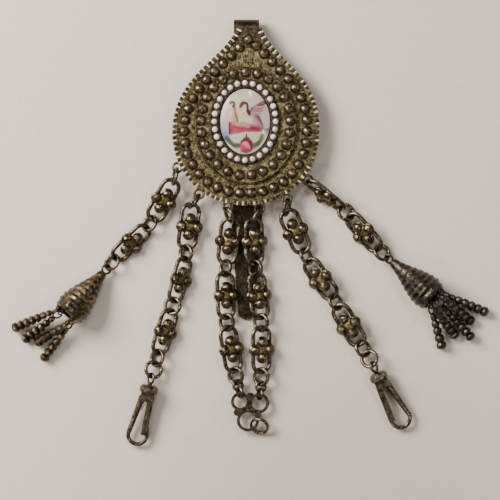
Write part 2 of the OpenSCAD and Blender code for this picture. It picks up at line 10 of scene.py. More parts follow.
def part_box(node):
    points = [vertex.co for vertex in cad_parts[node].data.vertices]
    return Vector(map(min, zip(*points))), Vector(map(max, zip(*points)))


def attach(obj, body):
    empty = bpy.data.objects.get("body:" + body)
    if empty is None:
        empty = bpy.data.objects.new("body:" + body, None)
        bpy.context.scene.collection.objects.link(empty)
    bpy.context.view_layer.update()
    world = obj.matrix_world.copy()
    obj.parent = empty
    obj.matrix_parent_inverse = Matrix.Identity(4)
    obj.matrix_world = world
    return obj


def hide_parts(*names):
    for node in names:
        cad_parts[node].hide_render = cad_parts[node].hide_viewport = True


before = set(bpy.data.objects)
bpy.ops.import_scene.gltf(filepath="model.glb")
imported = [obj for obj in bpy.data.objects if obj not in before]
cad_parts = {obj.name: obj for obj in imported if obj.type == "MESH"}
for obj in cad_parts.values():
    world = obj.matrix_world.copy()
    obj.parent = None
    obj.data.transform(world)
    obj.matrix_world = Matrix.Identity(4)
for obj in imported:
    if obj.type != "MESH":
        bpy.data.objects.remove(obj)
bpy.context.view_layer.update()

MM = 0.001

# What the photograph shows: 170 mm across its 500 pixels, at the metal's height, seen from above.
PICTURE_WIDTH = 170.0 * MM
PICTURE_MIDDLE = (1.19 * MM, -43.18 * MM)
CAMERA_HEIGHT = 1.0
SENSOR_WIDTH = 36.0
METAL_HEIGHT = 4.0 * MM


# Small tools

def linear(hex_colour):
    """Turns an sRGB hex value into the linear colour that a shader takes."""
    channels = [int(hex_colour[i:i + 2], 16) / 255.0 for i in (1, 3, 5)]
    made = [c / 12.92 if c <= 0.04045 else ((c + 0.055) / 1.055) ** 2.4 for c in channels]
    return (made[0], made[1], made[2], 1.0)


def add(tree, kind, links=None, **settings):
    """Adds one node with its settings, and links or sets its sockets."""
    made = tree.nodes.new(kind)
    for name, value in settings.items():
        setattr(made, name, value)
    for socket, value in (links or {}).items():
        if isinstance(value, bpy.types.NodeSocket):
            tree.links.new(value, made.inputs[socket])
        else:
            made.inputs[socket].default_value = value
    return made


def ramp(tree, factor, stops, **settings):
    """Adds a colour ramp with its stops as (place, hex colour)."""
    made = add(tree, "ShaderNodeValToRGB", {"Fac": factor}, **settings)
    elements = made.color_ramp.elements
    while len(elements) < len(stops):
        elements.new(0.5)
    for element, (place, hex_colour) in zip(elements, stops):
        element.position = place
        element.color = linear(hex_colour)
    return made.outputs["Color"]


def new_material(name):
    material = bpy.data.materials.new(name)
    material.use_nodes = True
    material.node_tree.nodes.clear()
    return material, material.node_tree


def dress(piece, material):
    piece.data.materials.clear()
    piece.data.materials.append(material)


def let_go():
    if bpy.context.object and bpy.context.object.mode != "OBJECT":
        bpy.ops.object.mode_set(mode="OBJECT")
    bpy.ops.object.select_all(action="DESELECT")


def settle(piece, name, body, replaced=()):
    """Puts a finished piece's place into its mesh and hands it to its body."""
    let_go()
    piece.select_set(True)
    bpy.context.view_layer.objects.active = piece
    bpy.ops.object.transform_apply(location=True, rotation=True, scale=True)
    piece.name = name
    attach(piece, body)
    if replaced:
        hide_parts(*replaced)
    return piece


def join(pieces):
    """Joins finished copies into one piece."""
    let_go()
    for piece in pieces:
        piece.select_set(True)
    bpy.context.view_layer.objects.active = pieces[0]
    bpy.ops.object.join()
    return bpy.context.object


def copy_of(piece):
    made = piece.copy()
    made.data = piece.data.copy()
    bpy.context.collection.objects.link(made)
    return made


def loose_points(node):
    """Gives the points of each loose solid in a CAD node."""
    merged = bmesh.new()
    merged.from_mesh(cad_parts[node].data)
    bmesh.ops.remove_doubles(merged, verts=merged.verts, dist=1e-6)
    seen = set()
    found = []
    for start in merged.verts:
        if start in seen:
            continue
        seen.add(start)
        reached = [start]
        for vertex in reached:
            for edge in vertex.link_edges:
                other = edge.other_vert(vertex)
                if other not in seen:
                    seen.add(other)
                    reached.append(other)
        found.append(numpy.array([v.co for v in reached]))
    merged.free()
    return found


def round_solids(node):
    """Gives the middle, foot, height and mean radius of each loose solid in a CAD node."""
    found = []
    for points in loose_points(node):
        low, high = Vector(points.min(0)), Vector(points.max(0))
        radius = (high.x - low.x + high.y - low.y) / 4.0
        found.append(((low + high) / 2.0, low.z, high.z - low.z, radius))
    return found


def oval_of(node):
    """Gives an oval CAD node's middle and half axes, both as (across, up) in millimetres.
    They are rounded to the micrometre, because the frame holds them less finely than the part."""
    low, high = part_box(node)
    middle = [round((a + b) / 2.0 / MM, 3) for a, b in zip(low[:2], high[:2])]
    half = [round((b - a) / 2.0 / MM, 3) for a, b in zip(low[:2], high[:2])]
    return middle, half


def top_of(node):
    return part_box(node)[1].z


# Materials

def finish_metal(tree, place, colour, height, roughness, grain_mm, bump_mm, dirt_and_shade, dirt_and_shade_mm):
    """Gives a metal uneven gloss and a relief, darkens its colour in the corners by an occlusion mask
    (grime and painted shade), and closes its shader.
    """
    grain = add(tree, "ShaderNodeTexNoise", {
        "Vector": place, "Scale": 1.0 / (grain_mm * MM), "Detail": 3.0, "Roughness": 0.7})
    # Painted shade: the colour goes dark where the occlusion mask finds corners, mixed with the grime
    # colour.
    corner = add(tree, "ShaderNodeAmbientOcclusion", {"Distance": dirt_and_shade_mm * MM}, samples=6)
    open_air = add(tree, "ShaderNodeMapRange", {
        "Value": corner.outputs["AO"], "From Min": 0.3, "From Max": 0.9})
    aged_and_shaded = add(tree, "ShaderNodeMix", {
        "Factor": open_air.outputs["Result"], "A": linear(dirt_and_shade), "B": colour},
        data_type="RGBA")
    gloss = add(tree, "ShaderNodeMapRange", {
        "Value": grain.outputs["Fac"], "From Min": 0.3, "From Max": 0.7,
        "To Min": roughness[0], "To Max": roughness[1]})
    both = add(tree, "ShaderNodeMath", {0: height, 1: grain.outputs["Fac"]}, operation="ADD")
    relief = add(tree, "ShaderNodeBump", {
        "Height": both.outputs[0], "Distance": bump_mm * MM, "Strength": 1.0})
    surface = add(tree, "ShaderNodeBsdfPrincipled", {
        "Base Color": aged_and_shaded.outputs["Result"], "Roughness": gloss.outputs["Result"],
        "Metallic": 1.0, "Normal": relief.outputs["Normal"]})
    add(tree, "ShaderNodeOutputMaterial", {"Surface": surface.outputs["BSDF"]})


def worked_metal(name, grounds, patch_mm, grain_mm, roughness, dirt_and_shade, dirt_and_shade_mm, bump_mm):
    """Old worked metal: patches of tarnish, grime and painted shade in its corners, fine scratches and
    pits.
    """
    material, tree = new_material(name)
    place = add(tree, "ShaderNodeTexCoord").outputs["Object"]
    patches = add(tree, "ShaderNodeTexNoise", {
        "Vector": place, "Scale": 1.0 / (patch_mm * MM), "Detail": 6.0, "Roughness": 0.65})
    colour = ramp(tree, patches.outputs["Fac"], grounds)
    finish_metal(tree, place, colour, patches.outputs["Fac"], roughness, grain_mm,
                 bump_mm, dirt_and_shade, dirt_and_shade_mm)
    return material


# Faceted steel studs of the plaque: olive-grey to brown-black, bright on the facets.
cut_steel = worked_metal(
    "polished_cut_steel",
    [(0.34, "#463a2e"), (0.48, "#786a58"), (0.58, "#a2947f"), (0.7, "#e4dac6")],
    patch_mm=1.1, grain_mm=0.3, roughness=(0.18, 0.42), dirt_and_shade="#1d1612", dirt_and_shade_mm=0.6, bump_mm=0.04)

# The chains' studs, never cleaned: brown-black with a gilt cast, glinting on the facets.
brown_steel = worked_metal(
    "brown_cut_steel",
    [(0.32, "#2b231a"), (0.45, "#564936"), (0.54, "#84765c"), (0.62, "#5f5434"), (0.74, "#d8cdb4")],
    patch_mm=1.3, grain_mm=0.3, roughness=(0.1, 0.28), dirt_and_shade="#120d08", dirt_and_shade_mm=0.8, bump_mm=0.05)

# Bent wire links, filed and gone brown: dark grey-brown, with rubbed places and some gilt.
link_steel = worked_metal(
    "filed_link_steel",
    [(0.3, "#201b15"), (0.44, "#423a30"), (0.52, "#7f7565"), (0.6, "#463e30"), (0.72, "#988b68")],
    patch_mm=1.5, grain_mm=0.35, roughness=(0.14, 0.34), dirt_and_shade="#110d08", dirt_and_shade_mm=0.9, bump_mm=0.08)

# Tassel caps and drops, cut in ribs and facets: dark brown steel with a gilt rest on the ribs.
tassel_steel = worked_metal(
    "ribbed_tassel_steel",
    [(0.3, "#241e17"), (0.46, "#453c31"), (0.56, "#6d624f"), (0.66, "#7d6e45"), (0.76, "#b3a78b")],
    patch_mm=1.5, grain_mm=0.3, roughness=(0.18, 0.42), dirt_and_shade="#130e09", dirt_and_shade_mm=0.9, bump_mm=0.08)

# The right tassel has gone darker and greyer than the left one.
dull_tassel_steel = worked_metal(
    "dull_tassel_steel",
    [(0.3, "#211d1a"), (0.46, "#393530"), (0.56, "#544f47"), (0.66, "#635d4e"), (0.76, "#a59f91")],
    patch_mm=1.7, grain_mm=0.3, roughness=(0.24, 0.48), dirt_and_shade="#130f0e", dirt_and_shade_mm=0.9, bump_mm=0.08)

# Milled bars and beading: burnished steel, gone dark brown. It also colours the dark rings of painted
# shade round the studs.
bar_steel = worked_metal(
    "burnished_bar_steel",
    [(0.32, "#231d15"), (0.48, "#433b2b"), (0.62, "#766c51")],
    patch_mm=1.2, grain_mm=0.3, roughness=(0.2, 0.4), dirt_and_shade="#15110b", dirt_and_shade_mm=0.7, bump_mm=0.05)

# The plate under each rosette's studs, gilt and rubbed: pale brass.
rubbed_gilt = worked_metal(
    "rubbed_gilt",
    [(0.3, "#463b26"), (0.5, "#786a46"), (0.66, "#b3a67e")],
    patch_mm=0.9, grain_mm=0.25, roughness=(0.22, 0.4), dirt_and_shade="#251e10", dirt_and_shade_mm=0.5, bump_mm=0.06)

# The beads' setting, tarnished silver: violet-brown, rubbed between the beads.
bead_bed = worked_metal(
    "tarnished_bead_bed",
    [(0.3, "#2d2729"), (0.5, "#5d524d"), (0.7, "#9a8f86")],
    patch_mm=0.8, grain_mm=0.25, roughness=(0.25, 0.5), dirt_and_shade="#1a1417", dirt_and_shade_mm=0.4, bump_mm=0.04)

# The engraving: rays from one middle, and rings as oval as the raised stage.
RAYS = 150
RING_STEP = 1.15 * MM
ENGRAVED_MIDDLE = (-0.3 * MM, -0.6 * MM, 0.0)
STAGE_HALF = oval_of("raised_oval")[1]
HAND_SLIP = 9.0
CUT_RELIEF = 0.034
PUNCH_RELIEF = -0.25
# The belt strip lies below the first height and the plate above the second.
STRIP_LEVEL, PLATE_LEVEL = 1.2 * MM, 5.2 * MM
# The neck is dark above the first place and engraved below the second.
NECK_DARK, NECK_ENGRAVED = 32.0 * MM, 25.0 * MM


def engraved_gilt():
    """Steel under an old gilt wash, engraved by hand with rays and rings that meet in a
    rough cross-hatch: olive ridges, pale where rubbed, over brown-black cuts."""
    material, tree = new_material("engraved_gilt_steel")
    place = add(tree, "ShaderNodeTexCoord").outputs["Object"]
    centred = add(tree, "ShaderNodeMapping", {
        "Vector": place, "Location": tuple(-v for v in ENGRAVED_MIDDLE)})
    parts = add(tree, "ShaderNodeSeparateXYZ", {"Vector": centred.outputs["Vector"]})
    up = add(tree, "ShaderNodeMath", {
        0: parts.outputs["Y"], 1: STAGE_HALF[0] / STAGE_HALF[1]}, operation="MULTIPLY")
    shake = add(tree, "ShaderNodeTexNoise", {
        "Vector": place, "Scale": 1.0 / (1.6 * MM), "Detail": 3.0})
    slip = add(tree, "ShaderNodeMath", {0: shake.outputs["Fac"], 1: HAND_SLIP},
               operation="MULTIPLY")
    angle = add(tree, "ShaderNodeMath", {0: parts.outputs["X"], 1: up.outputs[0]},
                operation="ARCTAN2")
    turned = add(tree, "ShaderNodeMath", {
        0: angle.outputs[0], 1: float(RAYS), 2: slip.outputs[0]}, operation="MULTIPLY_ADD")
    rays = add(tree, "ShaderNodeMath", {0: turned.outputs[0]}, operation="SINE")
    flat = add(tree, "ShaderNodeCombineXYZ", {"X": parts.outputs["X"], "Y": up.outputs[0]})
    reach = add(tree, "ShaderNodeVectorMath", {0: flat.outputs[0]}, operation="LENGTH")
    steps = add(tree, "ShaderNodeMath", {
        0: reach.outputs["Value"], 1: 2.0 * math.pi / RING_STEP, 2: slip.outputs[0]},
        operation="MULTIPLY_ADD")
    rings = add(tree, "ShaderNodeMath", {0: steps.outputs[0]}, operation="SINE")
    hatch = add(tree, "ShaderNodeMath", {
        0: rings.outputs[0], 1: 0.5, 2: rays.outputs[0]}, operation="MULTIPLY_ADD")
    # The neck is its own dark colour and shows no engraving. Below the plate's level the belt strip is
    # dark steel, darkened further by painted shade from the plate above it, and shows no engraving
    # either.
    low = add(tree, "ShaderNodeMapRange", {
        "Value": parts.outputs["Z"], "From Min": STRIP_LEVEL, "From Max": PLATE_LEVEL})
    neck = add(tree, "ShaderNodeMapRange", {
        "Value": parts.outputs["Y"], "From Min": NECK_DARK, "From Max": NECK_ENGRAVED,
        "To Min": 0.0, "To Max": 1.0})
    kept = add(tree, "ShaderNodeMath", {0: low.outputs["Result"], 1: neck.outputs["Result"]},
               operation="MULTIPLY")
    cut = add(tree, "ShaderNodeMath", {0: hatch.outputs[0], 1: kept.outputs[0]},
              operation="MULTIPLY")
    punched = add(tree, "ShaderNodeTexVoronoi", {
        "Vector": place, "Scale": 1.0 / (0.7 * MM)})
    patches = add(tree, "ShaderNodeTexNoise", {
        "Vector": place, "Scale": 1.0 / (2.2 * MM), "Detail": 6.0, "Roughness": 0.75})
    height = add(tree, "ShaderNodeMath", {
        0: cut.outputs[0], 1: CUT_RELIEF, 2: patches.outputs["Fac"]}, operation="MULTIPLY_ADD")
    level = add(tree, "ShaderNodeMath", {
        0: punched.outputs["Distance"], 1: PUNCH_RELIEF, 2: height.outputs[0]},
        operation="MULTIPLY_ADD")
    ridges = ramp(tree, level.outputs[0], [
        (0.16, "#211b13"), (0.31, "#4a412e"), (0.42, "#6f654a"), (0.53, "#8d8466"),
        (0.64, "#c6bea2")])
    dark = ramp(tree, level.outputs[0], [
        (0.18, "#17130e"), (0.4, "#3d362a"), (0.55, "#595040"), (0.75, "#8b8270")])
    colour = add(tree, "ShaderNodeMix", {
        "Factor": kept.outputs[0], "A": dark, "B": ridges}, data_type="RGBA")
    finish_metal(tree, place, colour.outputs["Result"], level.outputs[0],
                 roughness=(0.25, 0.5), grain_mm=0.3, bump_mm=0.12, dirt_and_shade="#1b160d", dirt_and_shade_mm=1.2)
    return material


gilt_steel = engraved_gilt()


def bead_glass():
    """Opaque white glass beads: milky, faintly warm, a soft gloss and a few yellowed patches."""
    material, tree = new_material("opaque_white_bead_glass")
    place = add(tree, "ShaderNodeTexCoord").outputs["Object"]
    patches = add(tree, "ShaderNodeTexNoise", {
        "Vector": place, "Scale": 1.0 / (2.2 * MM), "Detail": 4.0})
    colour = ramp(tree, patches.outputs["Fac"], [
        (0.3, "#c8b998"), (0.48, "#e4dac7"), (0.62, "#f2ece1")])
    pits = add(tree, "ShaderNodeTexNoise", {
        "Vector": place, "Scale": 1.0 / (0.35 * MM), "Detail": 2.0})
    relief = add(tree, "ShaderNodeBump", {
        "Height": pits.outputs["Fac"], "Distance": 0.05 * MM, "Strength": 0.7})
    surface = add(tree, "ShaderNodeBsdfPrincipled", {
        "Base Color": colour, "Roughness": 0.24, "IOR": 1.52,
        "Subsurface Weight": 0.25, "Subsurface Scale": 0.6 * MM,
        "Normal": relief.outputs["Normal"]})
    add(tree, "ShaderNodeOutputMaterial", {"Surface": surface.outputs["BSDF"]})
    return material


def painted_cut_glints():
    """Nearly white matt pieces in the cuts between the rim's bars, flecked in tone: painted glints of
    the bright cut flanks.
    """
    material, tree = new_material("painted_glints_in_cuts")
    place = add(tree, "ShaderNodeTexCoord").outputs["Object"]
    glint_flecks = add(tree, "ShaderNodeTexNoise", {
        "Vector": place, "Scale": 1.0 / (0.4 * MM), "Detail": 4.0})
    colour = ramp(tree, glint_flecks.outputs["Fac"], [
        (0.36, "#a89e88"), (0.5, "#dcd6c8"), (0.64, "#f2efe8")])
    relief = add(tree, "ShaderNodeBump", {
        "Height": glint_flecks.outputs["Fac"], "Distance": 0.05 * MM, "Strength": 0.8})
    surface = add(tree, "ShaderNodeBsdfPrincipled", {
        "Base Color": colour, "Roughness": 0.9, "Normal": relief.outputs["Normal"]})
    add(tree, "ShaderNodeOutputMaterial", {"Surface": surface.outputs["BSDF"]})
    return material


def painted_enamel():
    """Painted enamel under clear flux: the colours are in the glass, with a soft, wavy gloss."""
    material, tree = new_material("painted_enamel")
    place = add(tree, "ShaderNodeTexCoord").outputs["Object"]
    paint = add(tree, "ShaderNodeVertexColor", layer_name="paint")
    mottle = add(tree, "ShaderNodeTexNoise", {
        "Vector": place, "Scale": 1.0 / (0.6 * MM), "Detail": 5.0})
    stipple = add(tree, "ShaderNodeMapRange", {
        "Value": mottle.outputs["Fac"], "From Min": 0.3, "From Max": 0.7,
        "To Min": 0.66, "To Max": 0.9})
    colour = add(tree, "ShaderNodeMix", {
        "Factor": 1.0, "A": paint.outputs["Color"], "B": stipple.outputs["Result"]},
        data_type="RGBA", blend_type="MULTIPLY")
    wave = add(tree, "ShaderNodeTexNoise", {
        "Vector": place, "Scale": 1.0 / (4.0 * MM), "Detail": 1.0})
    relief = add(tree, "ShaderNodeBump", {
        "Height": wave.outputs["Fac"], "Distance": 0.15 * MM, "Strength": 0.6})
    surface = add(tree, "ShaderNodeBsdfPrincipled", {
        "Base Color": colour.outputs["Result"], "Roughness": 0.34, "IOR": 1.5,
        "Coat Weight": 0.4, "Coat Roughness": 0.12, "Normal": relief.outputs["Normal"]})
    add(tree, "ShaderNodeOutputMaterial", {"Surface": surface.outputs["BSDF"]})
    return material


# Dressed CAD nodes

def finish_of(node):
    """Gives the finish of a CAD node that stays in view."""
    if node in ("plaque", "raised_oval"):
        return gilt_steel
    if node == "bezel":
        return bead_bed
    if node == "right_tassel_cap" or "right_drop" in node:
        return dull_tassel_steel
    if node == "left_tassel_cap" or "left_drop" in node:
        return tassel_steel
    return link_steel


for node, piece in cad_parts.items():
    dress(piece, finish_of(node))


# Cut studs

STUD_SIDES = 9
STUD_LEAN = 0.06
# Each tier of facets: its height and its radius, as shares of the stud's.
STUD_TIERS = [(0.0, 1.0), (0.26, 1.0), (0.62, 0.8), (0.9, 0.44), (1.0, 0.3)]


def cut_stud():
    """Models one stud of unit radius and height: rings of facets, each turned half a facet."""
    let_go()
    bpy.ops.mesh.primitive_circle_add(vertices=STUD_SIDES, radius=1.0, fill_type="NGON")
    stud = bpy.context.object
    bpy.ops.object.mode_set(mode="EDIT")
    bpy.ops.mesh.select_all(action="SELECT")
    for (low, wide), (high, narrow) in zip(STUD_TIERS, STUD_TIERS[1:]):
        bpy.ops.mesh.extrude_region_move(
            TRANSFORM_OT_translate={"value": (0.0, 0.0, high - low)})
        if narrow != wide:
            ratio = narrow / wide
            bpy.ops.transform.resize(
                value=(ratio, ratio, 1.0), center_override=(0.0, 0.0, high))
            bpy.ops.transform.rotate(
                value=math.pi / STUD_SIDES, orient_axis="Z", center_override=(0.0, 0.0, high))
    bpy.ops.mesh.select_all(action="SELECT")
    bpy.ops.mesh.quads_convert_to_tris()
    bpy.ops.mesh.normals_make_consistent(inside=False)
    bpy.ops.object.mode_set(mode="OBJECT")
    return stud


def set_studs(node, name, seed):
    """Sets a stud in the place of each stud of the CAD node."""
    chance = random.Random(seed)
    master = cut_stud()
    made = []
    for middle, foot, height, radius in round_solids(node):
        stud = copy_of(master)
        stud.location = (middle.x, middle.y, foot)
        stud.rotation_euler = (
            chance.uniform(-STUD_LEAN, STUD_LEAN), chance.uniform(-STUD_LEAN, STUD_LEAN),
            chance.uniform(0.0, 2.0 * math.pi))
        stud.scale = (radius * chance.uniform(0.93, 1.0), radius * chance.uniform(0.93, 1.0),
                      height * chance.uniform(0.9, 0.97))
        made.append(stud)
    bpy.data.objects.remove(master)
    row = settle(join(made), name, "plaque_and_chains", [node])
    dress(row, cut_steel)
    return row


set_studs("outer_studs", "outer_stud_row", 11)
set_studs("inner_studs", "inner_stud_row", 23)


# Chains

CHAINS = ("outer_left_chain", "left_chain", "centre_left_chain", "centre_right_chain",
          "right_chain", "outer_right_chain")
FILED_SWELL = 0.14 * MM
LINK_WIRE = 0.6 * MM
# A link with a wider spread than this is a rosette link.
ROSETTE_SPREAD = 11.0 * MM
PETAL_OUT = 2.65 * MM
PETAL_TOP = 0.9 * MM
PETAL_RADIUS = 1.78 * MM
PETAL_HEIGHT = 1.62 * MM
UNDERPLATE_RADIUS = 2.35 * MM
UNDERPLATE_HEIGHT = 0.7 * MM
SEAT_SINK = 0.02 * MM


def stouter_links():
    """Gives every chain a copy of its links whose wire is as stout as the hand-filed one:
    the source keeps the wires thin enough to stay clear of each other."""
    for chain in CHAINS:
        links = copy_of(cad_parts[chain])
        links.parent = None
        for key in list(links.keys()):
            del links[key]
        let_go()
        links.select_set(True)
        bpy.context.view_layer.objects.active = links
        bpy.ops.object.mode_set(mode="EDIT")
        bpy.ops.mesh.select_all(action="SELECT")
        bpy.ops.mesh.remove_doubles(threshold=0.001 * MM)
        bpy.ops.transform.shrink_fatten(value=FILED_SWELL)
        bpy.ops.object.mode_set(mode="OBJECT")
        bpy.ops.object.shade_smooth_by_angle(angle=math.radians(35.0))
        settle(links, chain + "_links", "plaque_and_chains", [chain])
        dress(links, link_steel)


def rosette_frames():
    """Gives the middle and the three directions (along, across, up) of every rosette link."""
    frames = []
    for chain in CHAINS:
        for points in loose_points(chain):
            spans = points.max(0) - points.min(0)
            if numpy.hypot(*spans[:2]) < ROSETTE_SPREAD:
                continue
            middle = points.mean(0)
            directions = numpy.linalg.eigh(numpy.cov((points - middle).T))[1]
            ahead = Vector(directions[:, 2])
            upward = Vector(directions[:, 0])
            if upward.z < 0.0:
                upward = -upward
            side = upward.cross(ahead)
            centre = Vector(middle)
            for way in (ahead, side):
                reach = (points - middle) @ numpy.array(way)
                centre += way * float(reach.max() + reach.min()) / 2.0
            depth = (points - numpy.array(centre)) @ numpy.array(upward)
            centre += upward * (float(depth.min()) + LINK_WIRE)
            frames.append((centre, ahead, side, upward))
    return frames


def rosette_studs():
    """Sets four finely cut studs on every rosette, and a gilt plate under them."""
    chance = random.Random(17)
    studs, plates = [], []
    stud_master, plate_master = cut_stud(), cut_stud()
    plate_size = Matrix.Diagonal(
        (UNDERPLATE_RADIUS, UNDERPLATE_RADIUS, UNDERPLATE_HEIGHT, 1.0))
    for centre, ahead, side, upward in rosette_frames():
        axes = Matrix((ahead, side, upward)).transposed().to_4x4()
        for across, way in ((1, ahead), (-1, ahead), (1, side), (-1, side)):
            stud = copy_of(stud_master)
            seat = centre + way * across * PETAL_OUT + upward * PETAL_TOP
            turn = Matrix.Rotation(chance.uniform(0.0, 3.0), 4, "Z")
            wide = PETAL_RADIUS * chance.uniform(0.93, 1.0)
            size = Matrix.Diagonal((wide, wide, PETAL_HEIGHT, 1.0))
            stud.matrix_world = Matrix.Translation(seat) @ axes @ turn @ size
            studs.append(stud)
        plate = copy_of(plate_master)
        plate.matrix_world = Matrix.Translation(
            centre + upward * (PETAL_TOP - SEAT_SINK)) @ axes @ plate_size
        plates.append(plate)
    bpy.data.objects.remove(stud_master)
    bpy.data.objects.remove(plate_master)
    whole = settle(join(studs), "rosette_studs", "plaque_and_chains")
    dress(whole, brown_steel)
    whole = settle(join(plates), "rosette_bosses", "plaque_and_chains")
    dress(whole, rubbed_gilt)


stouter_links()
rosette_studs()


# The plaque's edge and ovals

# The plate's edge in millimetres, as the part is built: a rounded belly, then a curve to the neck.
PLAQUE_W = 49.9
SHOULDER_H = 33.2
BELLY_H = 25.4
BELLY_Y = -2.7
BELLY_POWER = 2.1
SHOULDER_PULL = 18.3
NECK_PULL = (9.8, 23.8)
NECK_W = 10.0
FOLD_HALF_W = 4.3
FOLD_RISE = 1.5
PLATE_X = -0.25
LEAN = 1.2
BELLY_STEP = 3
NECK_STEPS = 20

# The milling, in millimetres: bars and the painted glints in the cuts stop at the fold, and grow
# longer up the shoulder.
RIM_BARS = 87
MILLING_END = 32.0
SHOULDER_START = 8.0
SHOULDER_RISE = 16.0
BAR_LENGTH = 1.35
BAR_GROWTH = 0.45
# Each one's width, height and distance from the plate's edge.
BAR_SIZE = (1.3, 0.22, 0.02)
CUT_GLINT_SIZE = (0.6, 0.17, 0.06)


def plaque_edge():
    """Gives the plate's edge in millimetres, anticlockwise from the lowest point."""
    side = []
    for angle in range(-90, 0, BELLY_STEP):
        c, s = math.cos(math.radians(angle)), math.sin(math.radians(angle))
        side.append((PLAQUE_W / 2 * abs(c) ** (2 / BELLY_POWER),
                     BELLY_Y - BELLY_H * abs(s) ** (2 / BELLY_POWER)))
    pulls = [(PLAQUE_W / 2, 0.0), (PLAQUE_W / 2, SHOULDER_PULL), NECK_PULL,
             (NECK_W / 2, SHOULDER_H)]
    for step in range(NECK_STEPS + 1):
        t = step / NECK_STEPS
        weights = ((1 - t) ** 3, 3 * t * (1 - t) ** 2, 3 * t * t * (1 - t), t ** 3)
        side.append((sum(w * p[0] for w, p in zip(weights, pulls)),
                     sum(w * p[1] for w, p in zip(weights, pulls)) + BELLY_Y))
    side.append((FOLD_HALF_W, BELLY_Y + SHOULDER_H + FOLD_RISE))
    whole = side + [(-x, y) for x, y in reversed(side[1:])]
    return [(x + PLATE_X + LEAN * max(0.0, (y - BELLY_Y) / SHOULDER_H), y) for x, y in whole]


OVAL_POINTS = 180


def oval_path(middle, half):
    turns = [2.0 * math.pi * i / OVAL_POINTS for i in range(OVAL_POINTS)]
    return [(middle[0] + half[0] * math.cos(a), middle[1] + half[1] * math.sin(a))
            for a in turns]


def along(path, count, shift=0.0):
    """Gives evenly spaced places on a closed path as (x, y, outward angle), in metres."""
    points = [Vector((x, y)) * MM for x, y in path]
    lengths = [(points[(i + 1) % len(points)] - p).length for i, p in enumerate(points)]
    whole = sum(lengths)
    places = []
    for k in range(count):
        reach = whole * ((k + shift) % count) / count
        i = 0
        while reach > lengths[i]:
            reach -= lengths[i]
            i += 1
        ahead = points[(i + 1) % len(points)] - points[i]
        spot = points[i] + ahead * (reach / lengths[i])
        places.append((spot.x, spot.y, math.atan2(-ahead.x, ahead.y)))
    return places


def lay_trim(master, places, name, finish):
    """Copies one modelled piece of trim to (place, turn, scale), and joins the copies."""
    made = []
    for place, turn, scale in places:
        piece = copy_of(master)
        piece.location = place
        piece.rotation_euler = (0.0, 0.0, turn)
        piece.scale = scale
        made.append(piece)
    bpy.data.objects.remove(master)
    whole = settle(join(made), name, "plaque_and_chains")
    dress(whole, finish)
    return whole


RIDGE_LENGTH = 0.82
RIDGE_WIDTH = 0.4
BAR_BEVEL = 0.06


def gabled_bar():
    """Models a bar one unit long, wide and high, with a ridge along it and sloping ends."""
    let_go()
    bpy.ops.mesh.primitive_cube_add(size=1.0, location=(0.0, 0.0, 0.5))
    bar = bpy.context.object
    bpy.ops.object.mode_set(mode="EDIT")
    bpy.ops.mesh.select_all(action="DESELECT")
    bpy.ops.mesh.select_mode(type="FACE")
    bpy.ops.object.mode_set(mode="OBJECT")
    for face in bar.data.polygons:
        face.select = face.normal.z > 0.5
    bpy.ops.object.mode_set(mode="EDIT")
    bpy.ops.transform.resize(
        value=(RIDGE_LENGTH, RIDGE_WIDTH, 1.0), center_override=(0.0, 0.0, 1.0))
    bpy.ops.mesh.select_all(action="SELECT")
    bpy.ops.mesh.bevel(offset=BAR_BEVEL, segments=1)
    bpy.ops.object.mode_set(mode="OBJECT")
    return bar


GRAIN_FLAT = 0.8
GRAIN_WEAR = 0.08


def grain():
    """Models a round grain of unit radius, flattened a little and worn unevenly."""
    let_go()
    bpy.ops.mesh.primitive_ico_sphere_add(subdivisions=2, radius=1.0)
    made = bpy.context.object
    bpy.ops.object.mode_set(mode="EDIT")
    bpy.ops.mesh.select_all(action="SELECT")
    bpy.ops.transform.vertex_random(offset=GRAIN_WEAR, uniform=1.0, seed=3)
    bpy.ops.transform.resize(value=(1.0, 1.0, GRAIN_FLAT))
    bpy.ops.object.mode_set(mode="OBJECT")
    return made


def mill_rim():
    """Sets the milled bars round the rim, and pale pieces in the cuts between them that paint the
    glints of the cut flanks: they fill about half of the cuts at the belly, and all of them at the
    neck."""
    chance = random.Random(7)
    foot = top_of("plaque") - SEAT_SINK
    bars, cut_glints = [], []
    for shift, kept, (wide, tall, inset) in ((0.0, bars, BAR_SIZE), (0.5, cut_glints, CUT_GLINT_SIZE)):
        for x, y, out in along(plaque_edge(), RIM_BARS, shift):
            if y > MILLING_END * MM:
                continue
            high = min(1.0, max(0.0, (y - SHOULDER_START * MM) / (SHOULDER_RISE * MM)))
            long = (BAR_LENGTH + BAR_GROWTH * high) * MM
            if kept is cut_glints:
                if chance.random() > 0.5 + 0.5 * high:
                    continue
                long *= chance.uniform(0.85, 1.0)
            inward = long / 2.0 + inset * MM
            place = (x - math.cos(out) * inward, y - math.sin(out) * inward, foot)
            kept.append((place, out, (long, wide * MM * chance.uniform(0.9, 1.05), tall * MM)))
    lay_trim(gabled_bar(), bars, "rim_bars", bar_steel)
    # The pale pieces in the cuts are painted glints.
    lay_trim(gabled_bar(), cut_glints, "rim_cuts", painted_cut_glints())


mill_rim()


GRAIN_LENGTH = 1.3


def ring_of_grains(name, node, outward, level, count, radius, finish, seed):
    """Lays grains in an oval ring that runs a distance outward of a CAD node's oval."""
    chance = random.Random(seed)
    middle, half = oval_of(node)
    ring = oval_path(middle, [round(h + outward, 3) for h in half])
    places = []
    for x, y, out in along(ring, count):
        size = radius * MM * chance.uniform(0.85, 1.1)
        places.append(((x, y, level), out, (size, GRAIN_LENGTH * size, size)))
    lay_trim(grain(), places, name, finish)


